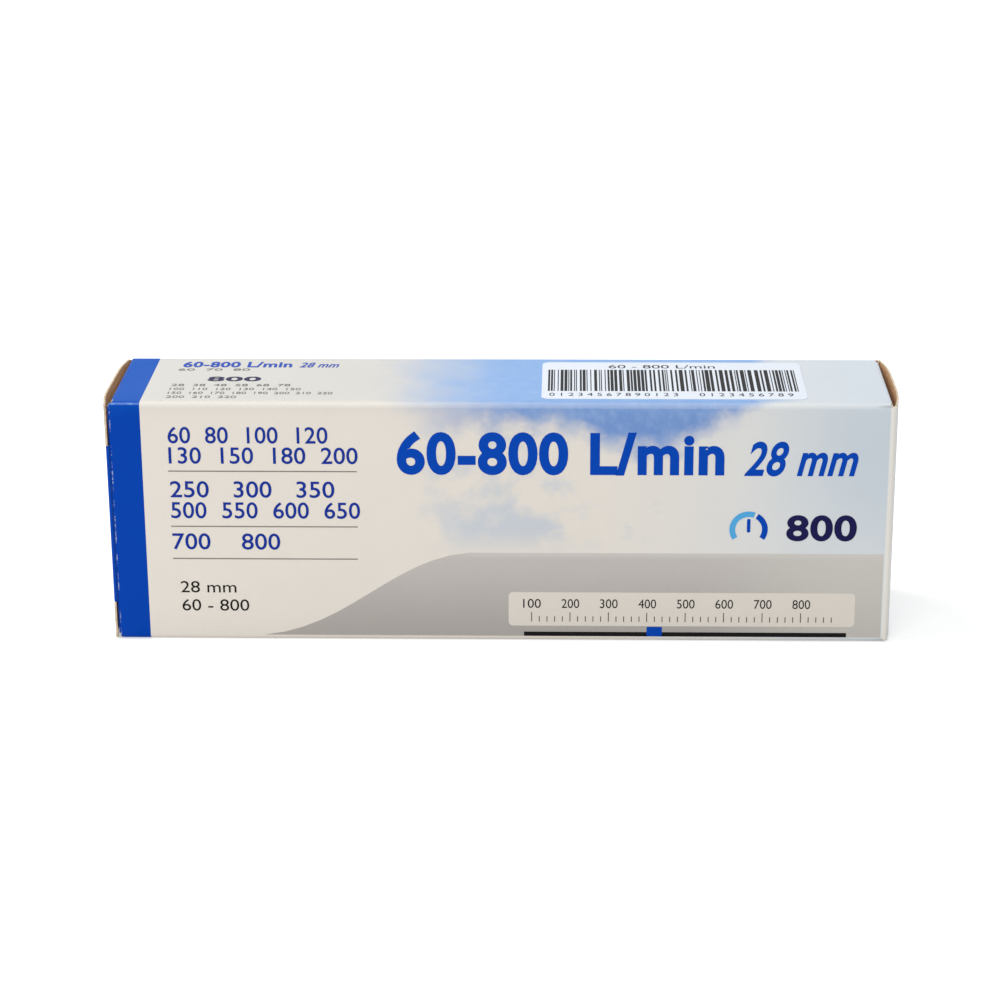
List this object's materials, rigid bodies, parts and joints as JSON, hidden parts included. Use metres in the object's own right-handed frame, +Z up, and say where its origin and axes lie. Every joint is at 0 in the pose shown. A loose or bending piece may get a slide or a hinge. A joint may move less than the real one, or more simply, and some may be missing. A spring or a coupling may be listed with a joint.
{
  "type": "boxed peak flow meter",
  "caption": "Closed folding carton with hinged end closures; inside, a peak flow meter with mouthpiece, sprung piston, slotted scale and pointer, and a folded leaflet.",
  "frame": {"origin": "centre of the closed carton's base", "axes": "+X along the carton towards its right end, +Y towards its back panel, +Z up"},
  "size_m": [0.2065, 0.04, 0.0651],
  "materials": {
    "carton_board": "satin",
    "label_paper": "matte",
    "casing_plastic": "satin",
    "clear_tube_plastic": "gloss",
    "mouthpiece_plastic": "satin",
    "seal_rubber": "matte",
    "mechanism_plastic": "satin",
    "steel": "satin",
    "pointer_plastic": "gloss",
    "scale_print": "satin",
    "leaflet_paper": "matte"
  },
  "bodies": {
    "carton": {"carton_sleeve": "carton_board", "barcode_label": "label_paper", "instruction_leaflet": "leaflet_paper"},
    "left_closure": {"left_closure_panel": "carton_board"},
    "left_tuck": {"left_tuck_flap": "carton_board"},
    "left_dust_top": {"left_dust_flap_top": "carton_board"},
    "left_dust_bottom": {"left_dust_flap_bottom": "carton_board"},
    "right_closure": {"right_closure_panel": "carton_board"},
    "right_tuck": {"right_tuck_flap": "carton_board"},
    "right_dust_top": {"right_dust_flap_top": "carton_board"},
    "right_dust_bottom": {"right_dust_flap_bottom": "carton_board"},
    "meter": {"front_shell": "casing_plastic", "rear_shell": "casing_plastic", "measuring_tube": "clear_tube_plastic", "mouthpiece_seal": "seal_rubber", "inlet_spider": "mechanism_plastic", "vent_grille": "mechanism_plastic", "guide_rod": "steel", "scale_plate": "scale_print", "stop_bumper": "seal_rubber", "return_spring": "steel", "shell_screws": "steel"},
    "mouthpiece": {"mouthpiece": "mouthpiece_plastic"},
    "piston": {"piston": "mechanism_plastic"},
    "pointer": {"pointer": "pointer_plastic"}
  },
  "joints": [
    {"name": "meter_slide", "type": "slide", "parent": "carton", "child": "meter", "axis": [-1, 0, 0], "range_m": [0, 0.084]},
    {"name": "left_closure_hinge", "type": "hinge", "parent": "carton", "child": "left_closure", "pos_m": [-0.1005, 0.02, 0.0325], "axis": [0, 0, -1], "range_deg": [0, 241]},
    {"name": "left_tuck_hinge", "type": "hinge", "parent": "left_closure", "child": "left_tuck", "pos_m": [-0.1012, -0.0193, 0.0325], "axis": [0, 0, -1], "range_deg": [0, 49]},
    {"name": "left_dust_top_hinge", "type": "hinge", "parent": "carton", "child": "left_dust_top", "pos_m": [-0.0997, 0, 0.065], "axis": [0, 1, 0], "range_deg": [0, 91]},
    {"name": "left_dust_bottom_hinge", "type": "hinge", "parent": "carton", "child": "left_dust_bottom", "pos_m": [-0.0997, 0, 0], "axis": [0, -1, 0], "range_deg": [0, 91]},
    {"name": "right_closure_hinge", "type": "hinge", "parent": "carton", "child": "right_closure", "pos_m": [0.1005, -0.02, 0.0325], "axis": [0, 0, -1], "range_deg": [0, 200]},
    {"name": "right_tuck_hinge", "type": "hinge", "parent": "right_closure", "child": "right_tuck", "pos_m": [0.1005, 0.0193, 0.0325], "axis": [0, 0, -1], "range_deg": [0, 41]},
    {"name": "right_dust_top_hinge", "type": "hinge", "parent": "carton", "child": "right_dust_top", "pos_m": [0.0997, 0, 0.065], "axis": [0, -1, 0], "range_deg": [0, 91]},
    {"name": "right_dust_bottom_hinge", "type": "hinge", "parent": "carton", "child": "right_dust_bottom", "pos_m": [0.0997, 0, 0], "axis": [0, 1, 0], "range_deg": [0, 91]},
    {"name": "piston_slide", "type": "slide", "parent": "meter", "child": "piston", "axis": [1, 0, 0], "range_m": [0, 0.079], "stiffness_N_per_m": 8, "springref_m": -0.01, "deforming": ["return_spring"]},
    {"name": "pointer_slide", "type": "slide", "parent": "meter", "child": "pointer", "axis": [1, 0, 0], "range_m": [0, 0.0791]},
    {"name": "mouthpiece_pull", "type": "slide", "parent": "meter", "child": "mouthpiece", "axis": [-1, 0, 0], "range_m": [0, 0.011]}
  ],
  "couplings": [
    {"joint": "left_closure_hinge", "follows": "meter_slide", "rad_per_m": 49.867},
    {"joint": "left_tuck_hinge", "follows": "meter_slide", "rad_per_m": 9.9733},
    {"joint": "left_dust_top_hinge", "follows": "meter_slide", "rad_per_m": 18.7},
    {"joint": "left_dust_bottom_hinge", "follows": "meter_slide", "rad_per_m": 18.7},
    {"joint": "right_tuck_hinge", "follows": "right_closure_hinge", "ratio": 0.2},
    {"joint": "right_dust_top_hinge", "follows": "right_closure_hinge", "ratio": 0.45},
    {"joint": "right_dust_bottom_hinge", "follows": "right_closure_hinge", "ratio": 0.45},
    {"joint": "pointer_slide", "follows": "piston_slide", "ratio": 1}
  ]
}
